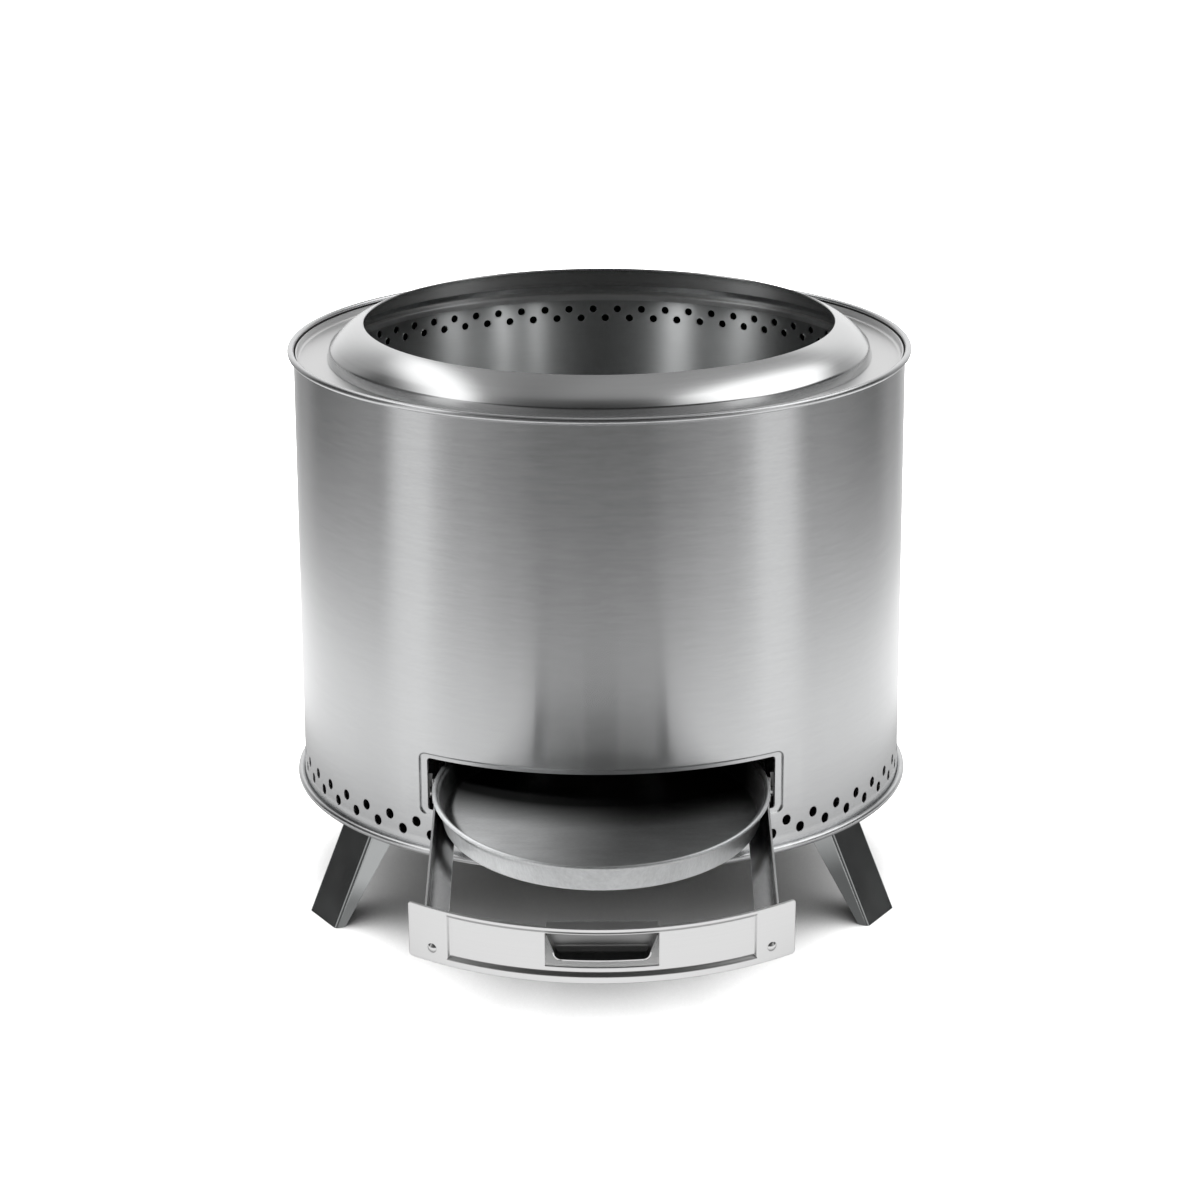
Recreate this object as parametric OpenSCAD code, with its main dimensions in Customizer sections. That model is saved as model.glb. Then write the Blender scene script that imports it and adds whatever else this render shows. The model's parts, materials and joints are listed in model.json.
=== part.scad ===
/* [Shell] */
// Outer radius of the shell's wall
shell_r = 243; // [236:1:260]
// Thickness of the sheet that the walls, the deck and the base are made of
sheet = 1.2; // [1:0.1:1.5]
// Height between the middles of the top and bottom beads
shell_h = 351.2; // [340:1:380]
// Radius of the rolled top bead
top_bead_r = 2.6; // [2.2:0.1:3]
// Radius of the rolled bottom bead
bottom_bead_r = 2.9; // [2.5:0.1:3.2]
// Air gap between the shell and the fire chamber
air_gap = 12.6; // [10:0.2:16]

/* [Vents] */
// Holes in each of the shell's two bottom rows
vent_count = 55; // [40:1:60]
// Diameter of a bottom vent
vent_d = 8.2; // [6:0.1:9]
// Height of the lower vent row above the base plate's underside
vent_rise = 8.9; // [8.6:0.1:10]
// Height between the two vent rows
vent_rows = 8.7; // [7:0.1:9]
// Holes in each of the chamber's two top rows
jet_count = 69; // [48:1:72]
// Diameter of a top hole in the chamber
jet_d = 6.3; // [4:0.1:7]
// Depth of the upper hole row below the deck
jet_drop = 16.4; // [14:0.2:24]
// Height between the two rows of top holes
jet_rows = 7.8; // [7:0.1:12]

/* [Deck and flame ring] */
// Depth of the deck below the middle of the top bead
deck_drop = 6.9; // [5:0.1:9]
// Radius of the fillet at the deck's outer edge
deck_fillet = 2.6; // [1.5:0.1:4]
// Width of the deck between the shell and the flame ring's skirt
deck_width = 25.3; // [22:0.1:32]
// Width of the flame ring from its skirt in to its opening
ring_width = 29.5; // [24:0.5:36]
// Height of the flame ring above the deck
ring_h = 28; // [24:0.5:34]
// Height of the ring's upright skirt
skirt_h = 8; // [5:0.5:10]
// How far the skirt leans in over its height
skirt_lean = 2.2; // [0:0.1:4]
// Thickness of the flame ring's sheet
ring_sheet = 1.5; // [1.2:0.1:2]
// Bulge of the ring's slope over a straight line
ring_bulge = 2; // [1:0.1:4]
// How far the deck reaches in past the ring's skirt
ring_seat = 5.5; // [4:0.5:8]
// Depth of the lip turned down at the deck's inner edge
deck_lip = 5; // [3:0.5:8]

/* [Base and burn grate] */
// Height of the base plate's underside above the ground
base_z = 91.5; // [86:0.5:100]
// Radius of the opening in the chamber's floor
floor_open_r = 112; // [95:1:116]
// How far the burn grate rests on the floor around the opening
grate_lap = 6; // [4:0.5:10]
// Thickness of the burn grate
grate_t = 2; // [1.5:0.1:3]
// Width of a slot in the burn grate
grate_slot = 5; // [4:0.5:6]
// Width of the flanges at the chamber's two ends
chamber_flange = 8; // [6:0.5:10]

/* [Drawer opening] */
// Width of the recess pressed round the opening, as a share of the shell's diameter
opening_share = 0.574; // [0.56:0.002:0.588]
// Height of the recess's lower edge above the base plate's underside
opening_rise = 26; // [25:0.5:34]
// Height of the recess
opening_h = 49.1; // [48:0.5:54]
// Width of the recess's border at its two ends
border_side = 6.2; // [5:0.1:8]
// Width of the recess's border above the cut-out
border_top = 3.7; // [3:0.1:5]
// Width of the recess's border below the cut-out
border_bottom = 3.5; // [3:0.1:4]
// Depth of the recess
recess = 1.8; // [1.7:0.05:2.2]

/* [Drawer] */
// Thickness of the drawer's sheet
drawer_sheet = 1.5; // [1.2:0.1:1.5]
// How far the drawer front laps the cut-out at its top and bottom
front_lap_z = 0.8; // [0.6:0.1:1.5]
// How far the drawer front laps the cut-out at its ends
front_lap_x = 4; // [2:0.5:4.5]
// Distance of the pressed panel from each end of the drawer front
panel_end = 27; // [25:0.5:45]
// Depth of the pressed panel
panel_depth = 2.6; // [1.5:0.1:3]
// Width of the drawer front's border above the panel
panel_top = 2.3; // [2:0.1:5]
// Width of the drawer front's border below the panel
panel_bottom = 4.8; // [3:0.1:6]
// Room between each end of the cut-out and the outside of a rail
rail_room = 6.5; // [6.3:0.1:9]
// Height of a rail's upright wall
rail_h = 23.1; // [20:0.5:24]
// Width of a rail's flange
rail_flange = 15.8; // [12:0.2:18]
// Height of the rails above the sill when the drawer is shut
rail_rise = 3; // [3:0.1:3.5]
// How far the rails reach back past the pan
rail_tail = 1.5; // [0:0.5:6]
// Travel of the drawer
travel = 225; // [200:1:230]
// Droop of the drawer when it is right out, in degrees
droop = 6.5; // [4:0.1:6.6]

/* [Drawer handle] */
// Half the width of the cut-out in front of the handle
grip_half = 40; // [32:1:46]
// Height of the cut-out
grip_h = 26; // [22:0.5:28]
// Distance of the cut-out's top edge below the panel's top edge
grip_drop = 4; // [3.5:0.1:5]
// How far the handle reaches back behind the front panel
grip_depth = 16; // [12:0.5:20]
// How far each side of the handle draws in towards its lip
grip_taper = 4; // [2:0.5:8]

/* [Ash pan] */
// How far the pan's rolled rim laps over the outsides of the rails
rim_lap = 1.7; // [1.2:0.1:1.8]
// Radius of the rolled rim itself
rim_r = 1.9; // [1.5:0.1:2.2]
// Slope of the pan's wall, as the difference of its top and bottom radius
pan_slope = 3; // [1:0.5:8]
// Height of the pan's underside above the rails' flanges
pan_lift = 1.4; // [1.2:0.1:4]

/* [Runners] */
// Distance of the runners' pivot pins behind the shell's front
pivot_inset = 48; // [47:0.5:51]
// Height of the pivot pins above the sill
pivot_rise = 12; // [11.5:0.5:14]
// Radius of a pivot pin
pivot_r = 2.5; // [2:0.1:3]
// How far the runners reach back past the rails
runner_tail = 5; // [3:1:10]
// Width of the lip under the rail's flange
runner_lip = 10.3; // [6:0.1:14]
// Radius of a rivet's shank in the drawer
rivet_r = 2; // [1.6:0.1:2.4]

/* [Legs] */
// Distance of a leg's pin inside the shell's outside
leg_inset = 35; // [33:1:40]
// Width of a leg
leg_w = 46.8; // [40:0.2:60]
// Thickness of a leg's sheet
leg_sheet = 1.5; // [1.2:0.1:2]
// Splay of a leg from the vertical, in degrees
leg_splay = 24.4; // [18:0.2:28]
// Depth of a leg's side flanges at the foot
foot_depth = 9.2; // [6:0.2:14]
// Distance of a leg's outer face from its pin
leg_face = 12.1; // [12:0.1:13]
// Radius of a leg's pin
leg_pin_r = 3; // [2.5:0.1:3.5]
// Depth of a leg's pin below the base plate's underside
leg_pin_drop = 11.5; // [11:0.5:13]

/* [Hidden] */
$fn = 96;

// clearances
seat = 0.3;
running_fit = 0.05;
slide_gap = 0.35;
bracket_gap = 0.55;
pan_room = 1.3;
// a length that runs a cutter past what it cuts
over = 5;

// the shell and what seats in it
bottom_bead_z = base_z - 3.3;
top_bead_z = bottom_bead_z + shell_h;
deck_z = top_bead_z - deck_drop;
shell_in_r = shell_r - sheet;
chamber_r = shell_in_r - air_gap;
chamber_in_r = chamber_r - sheet;
deck_r = shell_in_r - seat;
base_r = shell_in_r - seat;
ring_r = shell_in_r - deck_width;
ring_open_r = ring_r - ring_width;

// the drawer opening
opening_half = opening_share * shell_r;
opening_z = base_z + opening_rise;
opening_top = opening_z + opening_h;
sill_z = opening_z + border_bottom;
lintel_z = opening_top - border_top;
cut_half = opening_half - border_side;
recess_corner = 5;
cut_corner = 2.5;

// the drawer, drawn shut and level
front_z = sill_z - front_lap_z;
front_top = lintel_z + front_lap_z;
front_half = cut_half + front_lap_x;
front_in_r = shell_r - drawer_sheet;
front_corner = 2.5;
panel_half = front_half - panel_end;
panel_z = front_z + panel_bottom;
panel_top_z = front_top - panel_top;
rail_half = cut_half - rail_room;
rail_z = sill_z + rail_rise;
rail_top = rail_z + rail_h;
rail_in = rail_half - drawer_sheet;
tab_r = front_in_r - 0.1;
pan_r = rail_half + rim_lap;
pan_body_r = rail_in - pan_room;
pan_z = rail_z + drawer_sheet + pan_lift;
rim_z = rail_top + seat + rim_r;
rail_back = pan_r + rail_tail;
grip_top = panel_top_z - grip_drop;
grip_z = grip_top - grip_h;
grip_lip_z = grip_z + 4;
grip_corner = 6;

// rivets: places, head radius and head height
front_rivet_x = rail_half - 6.3;
front_rivet_z = rail_z + 7.5;
front_head_r = 3.75;
bracket_rivet_r = leg_pin_r - 0.6;
bracket_head_r = 4.2;
bracket_rivet_at = 10;
head_h = 1.6;
tail_h = 1.2;
guide_y = rail_back - 10;
guide_z = rail_z + 11;

// the runners, drawn level
pivot_front = shell_r - pivot_inset;
runner_front = pivot_front + 5;
runner_back = rail_back + runner_tail;
web_in = rail_half + slide_gap;
web_out = web_in + sheet;
lip_top = rail_z - seat;
lip_z = lip_top - sheet;
web_top = rail_top - 0.6;
pivot_z = sill_z + pivot_rise;
bracket_x = web_out + bracket_gap;

// the chamber's floor is the stop that the runners' back ends rise to
runner_peak = pivot_z + (runner_back + pivot_front) * sin(droop) + (web_top - pivot_z) * cos(droop);
floor_z = runner_peak + seat;
grate_r = floor_open_r + grate_lap;

// the legs
leg_pin_at = shell_r - leg_inset;
leg_pin_z = base_z - leg_pin_drop;
leg_end_r = 10.5;
bracket_half = leg_w / 2 - leg_sheet - seat;
leg_turns = [["left", -60], ["right", 60], ["rear", 180]];

steel = [0.72, 0.73, 0.74];
dark_steel = [0.34, 0.35, 0.36];
bright_steel = [0.84, 0.85, 0.86];
satin_steel = [0.78, 0.78, 0.77];

// points along an arc about the middle m, from angle a to angle b, both ends included
function arc(m, r, a, b, n) = [for (i = [0 : n]) let (t = a + (b - a) * i / n) m + r * [cos(t), sin(t)]];

// middle of the arc that bulges by s over the line from p to q, on the line's left
function bulge_r(p, q, s) = (pow(norm(q - p) / 2, 2) + s * s) / (2 * s);
function bulge_mid(p, q, s) = (p + q) / 2 + (s - bulge_r(p, q, s)) * [p.y - q.y, q.x - p.x] / norm(q - p);

module tube(r, t, z0, z1) {
  difference() {
    translate([0, 0, z0]) cylinder(h = z1 - z0, r = r);
    translate([0, 0, z0 - over]) cylinder(h = z1 - z0 + 2 * over, r = r - t);
  }
}

module rounded(half, y0, y1, c) {
  translate([-half + c, y0]) square([2 * (half - c), y1 - y0]);
  translate([-half, y0 + c]) square([2 * half, y1 - y0 - 2 * c]);
  for (x = [-half + c, half - c], y = [y0 + c, y1 - c]) translate([x, y]) circle(r = c, $fn = 32);
}

// a block with a rounded front outline, reaching from the pit's axis out past the front
module window(half, z0, z1, c) {
  rotate([90, 0, 0]) linear_extrude(shell_r + 4 * over) rounded(half, z0, z1, c);
}

// turn from the front, counted towards the pit's right-hand side
module turned(a) {
  rotate([0, 0, a]) children();
}

// a row of round holes through a wall of radius r
module hole_row(count, d, z, r, shift) {
  for (i = [0 : count - 1]) {
    rotate([0, 0, (i + shift) * 360 / count])
      translate([0, -r + 2 * over, z])
        rotate([90, 0, 0])
          cylinder(h = 4 * over, d = d, $fn = 24);
  }
}

// section of a bead of rolled sheet, with its slit from angle a to angle b
module bead_section(r, a, b) {
  difference() {
    circle(r = r, $fn = 48);
    circle(r = r - sheet, $fn = 48);
    polygon(concat([[0, 0]], arc([0, 0], 2 * r, a, b, 2)));
  }
}

module shell_section() {
  top = [shell_r - 0.3 + top_bead_r, top_bead_z];
  bottom = [shell_r + 0.2 + bottom_bead_r, bottom_bead_z];
  translate(top) bead_section(top_bead_r, 200, 252);
  translate(bottom) bead_section(bottom_bead_r, 100, 128);
  // the wall, with a soft flare down to the bottom bead
  polygon([
    [shell_in_r - 0.3, top.y], [shell_in_r, top.y - 4],
    [shell_in_r, bottom.y + 9], [shell_in_r + 0.3, bottom.y + 5],
    [bottom.x - bottom_bead_r, bottom.y],
    [bottom.x - bottom_bead_r + sheet, bottom.y],
    [shell_r + 0.3, bottom.y + 5], [shell_r, bottom.y + 9],
    [shell_r, top.y - 4], [top.x - top_bead_r + sheet, top.y]
  ]);
}

module outer_shell() {
  color(steel)
  difference() {
    union() {
      rotate_extrude($fn = 180) shell_section();
      // the step in to the recess round the drawer's cut-out
      intersection() {
        tube(shell_r, recess + sheet, opening_z - over, opening_top + over);
        window(opening_half + sheet, opening_z - sheet, opening_top + sheet, recess_corner + sheet);
      }
    }
    intersection() {
      tube(shell_r + over, recess + over, opening_z - over, opening_top + over);
      window(opening_half, opening_z, opening_top, recess_corner);
    }
    window(cut_half, sill_z, lintel_z, cut_corner);
    hole_row(vent_count, vent_d, base_z + vent_rise, shell_r, 0);
    hole_row(vent_count, vent_d, base_z + vent_rise + vent_rows, shell_r, 0.5);
  }
}

// dished ring between the shell and the flame ring
module top_deck() {
  f = deck_fillet;
  rim = deck_r - sheet;
  lip = ring_r - ring_seat;
  inner = concat([[rim, top_bead_z - 1.2]], arc([rim - f, deck_z + f], f, 0, -90, 6));
  outer = concat(arc([rim - f, deck_z + f], f + sheet, -90, 0, 6), [[deck_r, top_bead_z - 1.2]]);
  lips = [[lip + 1, deck_z], [lip, deck_z - 1], [lip, deck_z - deck_lip], [lip + sheet, deck_z - deck_lip],
    [lip + sheet, deck_z - sheet]];
  color(satin_steel) rotate_extrude($fn = 180) polygon(concat(inner, lips, outer));
}

// sloping ring that turns the hot air in over the fire
module flame_ring() {
  z = deck_z + seat;
  foot = [ring_r, z];
  hip = [ring_r - skirt_lean, z + skirt_h];
  edge = [ring_open_r, z + ring_h];
  shoulder = 3;
  mid = bulge_mid(edge, hip, ring_bulge);
  r = bulge_r(edge, hip, ring_bulge);
  a = atan2(hip.y - mid.y, hip.x - mid.x);
  b = atan2(edge.y - mid.y, edge.x - mid.x);
  bend = hip - shoulder * [1, 0];
  top = concat(arc(bend, shoulder, 0, a, 4), arc(mid, r, a + 3, b, 10));
  under = concat(arc(mid, r - ring_sheet, b, a + 3, 10), arc(bend, shoulder - ring_sheet, a, 0, 4));
  color(bright_steel)
  rotate_extrude($fn = 180)
    polygon(concat([foot], top, under, [[ring_r - ring_sheet, z]]));
}

module fire_chamber() {
  top = deck_z - sheet;
  color(steel)
  difference() {
    union() {
      tube(chamber_r, sheet, floor_z - sheet, top);
      tube(chamber_r + chamber_flange, sheet + chamber_flange, top - sheet, top);
      tube(chamber_r, sheet + chamber_flange, floor_z - sheet, floor_z);
    }
    hole_row(jet_count, jet_d, deck_z - jet_drop, chamber_r, 0.78);
    hole_row(jet_count, jet_d, deck_z - jet_drop - jet_rows, chamber_r, 0.28);
  }
}

module chamber_floor() {
  color(dark_steel) tube(chamber_in_r - seat, chamber_in_r - seat - floor_open_r, floor_z, floor_z + sheet);
}

// plate with rings of slots, which drops the ash and lifts out through the flame ring
module burn_grate() {
  rows = [[0.2, 6], [0.47, 12], [0.74, 18]];
  slot_l = 0.17 * grate_r;
  color(dark_steel)
  translate([0, 0, floor_z + sheet + seat])
  linear_extrude(grate_t)
  difference() {
    circle(r = grate_r, $fn = 120);
    for (row = rows, i = [0 : row[1] - 1]) {
      rotate(i * 360 / row[1] + row[1])
        translate([row[0] * grate_r, 0]) {
          translate([0, -grate_slot / 2]) square([slot_l, grate_slot]);
          circle(d = grate_slot, $fn = 24);
          translate([slot_l, 0]) circle(d = grate_slot, $fn = 24);
        }
    }
  }
}

module rivet_places(a) {
  turned(a)
    for (x = [-bracket_rivet_at, bracket_rivet_at])
      translate([x, -leg_pin_at + bracket_rivet_at, base_z]) children();
}

module rivet_bores(a) {
  rivet_places(a)
    translate([0, 0, -over]) cylinder(h = 2 * over, r = bracket_rivet_r + running_fit, $fn = 32);
}

module base_plate() {
  color(dark_steel)
  difference() {
    union() {
      translate([0, 0, base_z]) cylinder(h = sheet, r = base_r, $fn = 180);
      tube(base_r, sheet, base_z - 3, base_z + sheet);
    }
    for (leg = leg_turns) rivet_bores(leg[1]);
  }
}

// the droop that the drawer and its runners have in the photographed place
module drooped() {
  translate([0, -pivot_front, pivot_z])
    rotate([droop, 0, 0])
      translate([0, pivot_front, -pivot_z])
        children();
}

module drawn_out() {
  drooped() translate([0, -travel, 0]) children();
}

module pivot_bore(r) {
  translate([-2 * shell_r, -pivot_front, pivot_z])
    rotate([0, 90, 0])
      cylinder(h = 4 * shell_r, r = r, $fn = 32);
}

// channel that carries a drawer rail, for the pit's right-hand side
module runner() {
  length = runner_front + runner_back;
  difference() {
    union() {
      translate([web_in, -runner_front, lip_z]) cube([sheet, length, web_top - lip_z]);
      translate([web_out - runner_lip, -runner_front, lip_z]) cube([runner_lip, length, sheet]);
    }
    // slot for the guide rivet, whose ends stop the drawer
    translate([0, 0, guide_z])
    rotate([0, 90, 0])
    linear_extrude(shell_r) {
      slot_r = rivet_r + seat;
      translate([0, guide_y - travel]) circle(r = slot_r, $fn = 32);
      translate([0, guide_y]) circle(r = slot_r, $fn = 32);
      translate([-slot_r, guide_y - travel]) square([2 * slot_r, travel]);
    }
  }
}

module runner_right() {
  color(dark_steel) drooped() runner();
}

module runner_left() {
  color(dark_steel) drooped() mirror([1, 0, 0]) runner();
}

// studs fixed in the runners' webs, which turn in the brackets
module runner_pins() {
  color(bright_steel)
  drooped()
  for (side = [0, 1]) mirror([side, 0, 0])
    translate([web_out, -pivot_front, pivot_z])
      rotate([0, 90, 0]) {
        length = bracket_x - web_out + sheet + seat;
        cylinder(h = length, r = pivot_r, $fn = 32);
        translate([0, 0, length]) cylinder(h = tail_h, r = pivot_r + 1.5, $fn = 32);
      }
}

// bent plate on the shell's inside beside the opening, for the right-hand side
module runner_bracket() {
  nose = 4.5;
  tail = 9;
  low = pivot_z - 8;
  high = 20;
  back = pivot_front - tail;
  reach = sqrt(pow(shell_in_r - seat, 2) - pow(back + sheet, 2));
  difference() {
    union() {
      translate([bracket_x, -pivot_front - nose, low]) cube([sheet, nose + tail, high]);
      translate([bracket_x, -back - sheet, low]) cube([reach - bracket_x, sheet, high]);
    }
    pivot_bore(pivot_r + running_fit);
  }
}

module runner_bracket_right() {
  color(dark_steel) runner_bracket();
}

module runner_bracket_left() {
  color(dark_steel) mirror([1, 0, 0]) runner_bracket();
}

// strap that carries the runners' back ends when the drawer is shut
module rear_runner_support() {
  w = 20;
  foot = 14;
  top = lip_z - seat;
  low = base_z + sheet;
  half = web_out + 4;
  color(dark_steel)
  translate([0, runner_back - w - 3, 0]) {
    translate([-half, 0, top - sheet]) cube([2 * half, w, sheet]);
    for (x = [-half, half - sheet]) translate([x, 0, low]) cube([sheet, w, top - low]);
    for (x = [-half - foot, half - sheet]) translate([x, 0, low]) cube([foot + sheet, w, sheet]);
  }
}

// place on the drawer front's outside, at the height z, with +Z pointing out
module on_front(x, z) {
  rotate([0, 0, asin(x / shell_r)]) translate([0, -shell_r, z]) rotate([90, 0, 0]) children();
}

// bore for a front rivet, through the drawer front and the rail's tab
module front_bore(side) {
  on_front(side * front_rivet_x, front_rivet_z)
    translate([0, 0, -2 * over]) cylinder(h = 3 * over, r = rivet_r + running_fit, $fn = 32);
}

// angle rail with a tab behind the drawer front, for the right-hand side
module drawer_rail() {
  length = shell_r + rail_back;
  flange_x = rail_half - rail_flange;
  difference() {
    union() {
      intersection() {
        union() {
          translate([rail_in, -shell_r, rail_z]) cube([drawer_sheet, length, rail_h]);
          translate([flange_x, -shell_r, rail_z]) cube([rail_flange, length, drawer_sheet]);
        }
        translate([0, 0, rail_z - over]) cylinder(h = rail_h + 2 * over, r = tab_r);
      }
      intersection() {
        tube(tab_r, drawer_sheet, rail_z, rail_top);
        translate([flange_x, -shell_r, rail_z]) cube([rail_flange, shell_r, rail_h]);
      }
    }
    front_bore(1);
    translate([rail_in - over, guide_y, guide_z])
      rotate([0, 90, 0])
        cylinder(h = 3 * over, r = rivet_r + running_fit, $fn = 32);
  }
}

module drawer_rail_right() {
  color(bright_steel) drawn_out() drawer_rail();
}

module drawer_rail_left() {
  color(bright_steel) drawn_out() mirror([1, 0, 0]) drawer_rail();
}

// curved front with its pressed panel and the cut-out for the fingers
module drawer_front() {
  d = panel_depth;
  sunk_r = shell_r - d;
  sunk_half = panel_half - d;
  color(satin_steel)
  drawn_out()
  difference() {
    union() {
      intersection() {
        difference() {
          tube(shell_r, drawer_sheet, front_z, front_top);
          window(panel_half, panel_z, panel_top_z, 0.5);
        }
        window(front_half, front_z, front_top, front_corner);
      }
      // the panel with its slanted upper and lower sides
      intersection() {
        rotate_extrude($fn = 180)
          polygon([
            [shell_r, panel_z], [sunk_r, panel_z + d], [sunk_r, panel_top_z - d], [shell_r, panel_top_z],
            [front_in_r, panel_top_z], [sunk_r - drawer_sheet, panel_top_z - d],
            [sunk_r - drawer_sheet, panel_z + d], [front_in_r, panel_z]
          ]);
        window(sunk_half, panel_z - over, panel_top_z + over, 0.5);
      }
      // its slanted ends
      for (side = [0, 1]) mirror([side, 0, 0]) {
        y0 = -sqrt(pow(shell_r, 2) - pow(panel_half, 2));
        y1 = -sqrt(pow(sunk_r, 2) - pow(sunk_half, 2));
        translate([0, 0, panel_z])
          linear_extrude(panel_top_z - panel_z)
            polygon([[panel_half, y0], [sunk_half, y1], [sunk_half, y1 + 1.7], [panel_half, y0 + 1.7]]);
      }
    }
    window(grip_half, grip_z, grip_top, 1);
    for (side = [-1, 1]) front_bore(side);
  }
}

// section of the handle, with y towards the front and z up
module handle_section() {
  t = sheet;
  back = -(shell_r - panel_depth - drawer_sheet) + grip_depth;
  front = -shell_r;
  top = panel_top_z + sheet;
  low = grip_lip_z;
  upper = grip_depth / 2;
  lower = grip_corner;
  // flat flange, bend, upright back, bend and lip
  translate([front, top - t]) square([back - upper - front, t]);
  translate([back - upper, top - upper]) bend(upper, t, 0);
  translate([back - t, low + lower]) square([t, top - upper - low - lower]);
  translate([back - lower, low + lower]) bend(lower, t, -90);
  translate([front, low]) square([back - lower - front, t]);
}

// quarter of a bent sheet of outer radius r, from the angle a on
module bend(r, t, a) {
  intersection() {
    difference() {
      circle(r = r, $fn = 48);
      circle(r = r - t, $fn = 48);
    }
    rotate(a) square(r);
  }
}

// scoop behind the cut-out, for the fingers
module drawer_handle() {
  half = grip_half - 0.5;
  low_half = half - grip_taper - 0.6;
  c = grip_corner;
  low = grip_lip_z;
  behind_r = shell_r - panel_depth - drawer_sheet - seat;
  color(satin_steel)
  drawn_out()
  intersection() {
    rotate([90, 0, 90])
      translate([0, 0, -grip_half])
        linear_extrude(2 * grip_half)
          handle_section();
    // it ends just behind the pressed panel, and its flange just behind the border above the panel
    union() {
      translate([0, 0, front_z - over]) cylinder(h = opening_h, r = behind_r);
      translate([0, 0, panel_top_z]) cylinder(h = opening_h, r = front_in_r - seat);
    }
    // seen from the front it narrows to a lip with round corners
    rotate([90, 0, 0])
    linear_extrude(shell_r)
    union() {
      polygon([[-half, front_top], [half, front_top], [half, grip_top - 4], [low_half, low + c],
        [-low_half, low + c], [-half, grip_top - 4]]);
      for (x = [-low_half + c, low_half - c]) translate([x, low + c]) circle(r = c, $fn = 48);
      translate([-low_half + c, low]) square([2 * (low_half - c), c]);
    }
  }
}

// domed head with its shank, pointing out along +Z
module rivet(head_r, head_h, shank_r, shank_l) {
  dome_r = (head_r * head_r + head_h * head_h) / (2 * head_h);
  intersection() {
    translate([0, 0, head_h - dome_r]) sphere(r = dome_r, $fn = 48);
    cylinder(h = head_h + 1, r = head_r, $fn = 48);
  }
  translate([0, 0, -shank_l]) cylinder(h = shank_l, r = shank_r, $fn = 32);
}

module drawer_rivets() {
  grip = shell_r - tab_r + drawer_sheet;
  color(bright_steel)
  drawn_out()
  for (side = [-1, 1])
    on_front(side * front_rivet_x, front_rivet_z) {
      rivet(front_head_r, head_h, rivet_r, grip + 1);
      translate([0, 0, -grip - tail_h - 0.1]) cylinder(h = tail_h, r = rivet_r + 1.2, $fn = 32);
    }
}

module guide_rivets() {
  inner = 1;
  shank = web_out + seat - rail_in;
  color(bright_steel)
  drawn_out()
  for (side = [0, 1]) mirror([side, 0, 0])
    translate([rail_in, guide_y, guide_z]) rotate([0, 90, 0]) {
      translate([0, 0, -inner]) cylinder(h = inner, r = rivet_r + 1, $fn = 32);
      translate([0, 0, -inner]) cylinder(h = shank + inner + tail_h, r = rivet_r, $fn = 32);
      translate([0, 0, shank]) cylinder(h = tail_h, r = rivet_r + 1.6, $fn = 32);
    }
}

// shallow round pan with a rolled rim, which hangs in the rails
module ash_pan() {
  t = sheet;
  c = 4;
  bend = [pan_body_r - pan_slope - c, pan_z + c];
  neck = pan_r - 2 * rim_r + 0.1;
  color(satin_steel)
  drawn_out()
  rotate_extrude($fn = 180) {
    polygon(concat(
      [[0, pan_z]],
      arc(bend, c, -90, 0, 5),
      [[pan_body_r, rim_z - 2], [neck, rim_z], [neck, rim_z + 0.6], [pan_body_r - t, rim_z - t]],
      arc(bend, c - t, 0, -90, 5),
      [[0, pan_z + t]]
    ));
    translate([pan_r - rim_r, rim_z]) bead_section(rim_r, 215, 250);
  }
}

// bent channel that stands on the ground and folds in about its pin
module leg() {
  reach = (leg_pin_z + over) / cos(leg_splay) + leg_face;
  bend_r = 3;
  depth = leg_face + leg_end_r;
  half = leg_w / 2;
  foot_at = -leg_pin_z / cos(leg_splay) + leg_face * tan(leg_splay);
  slope = (leg_face - foot_depth + leg_end_r) / -foot_at;
  difference() {
    intersection() {
      // channel with rounded bends, standing upright with its face towards +X
      rotate([0, -leg_splay, 0])
      intersection() {
        translate([0, 0, -reach])
        linear_extrude(reach + 3 * over)
        difference() {
          translate([leg_face - depth - over, 0]) rotate(-90) leg_outline(half, depth + over, bend_r);
          translate([leg_face - depth - over, 0])
            rotate(-90) leg_outline(half - leg_sheet, depth + over - leg_sheet, bend_r - leg_sheet);
        }
        // side view: deep at the pin, shallow at the foot, round about the pin
        rotate([90, 0, 0])
        translate([0, 0, -leg_w])
        linear_extrude(2 * leg_w) {
          circle(r = leg_end_r, $fn = 64);
          polygon([[-leg_end_r, 0], [-leg_end_r + slope * reach, -reach], [leg_face + 1, -reach],
            [leg_face + 1, 3 * over], [4, 3 * over], [4, 0]]);
        }
      }
      // cut level at the ground and under the base plate, which is the stop for the splay
      translate([-shell_r, -leg_w, -leg_pin_z]) cube([2 * shell_r, 2 * leg_w, base_z - seat]);
    }
    leg_pin_bore();
  }
}

// bore for the pin, in a leg's own frame
module leg_pin_bore() {
  rotate([90, 0, 0])
    translate([0, 0, -leg_w])
      cylinder(h = 2 * leg_w, r = leg_pin_r + running_fit, $fn = 48);
}

// outline of the channel's outside: open at y = 0 and rounded at y = depth
module leg_outline(half, depth, c) {
  translate([-half, 0]) square([2 * half, depth - c]);
  translate([-half + c, 0]) square([2 * (half - c), depth]);
  for (x = [-half + c, half - c]) translate([x, depth - c]) circle(r = c, $fn = 32);
}

// puts a leg's own frame, with +X pointing out from the pit, at the pin
module at_leg(a) {
  rotate([0, 0, a - 90]) translate([leg_pin_at, 0, leg_pin_z]) children();
}

module leg_left() {
  color(dark_steel) at_leg(leg_turns[0][1]) leg();
}

module leg_right() {
  color(dark_steel) at_leg(leg_turns[1][1]) leg();
}

module leg_rear() {
  color(dark_steel) at_leg(leg_turns[2][1]) leg();
}

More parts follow.
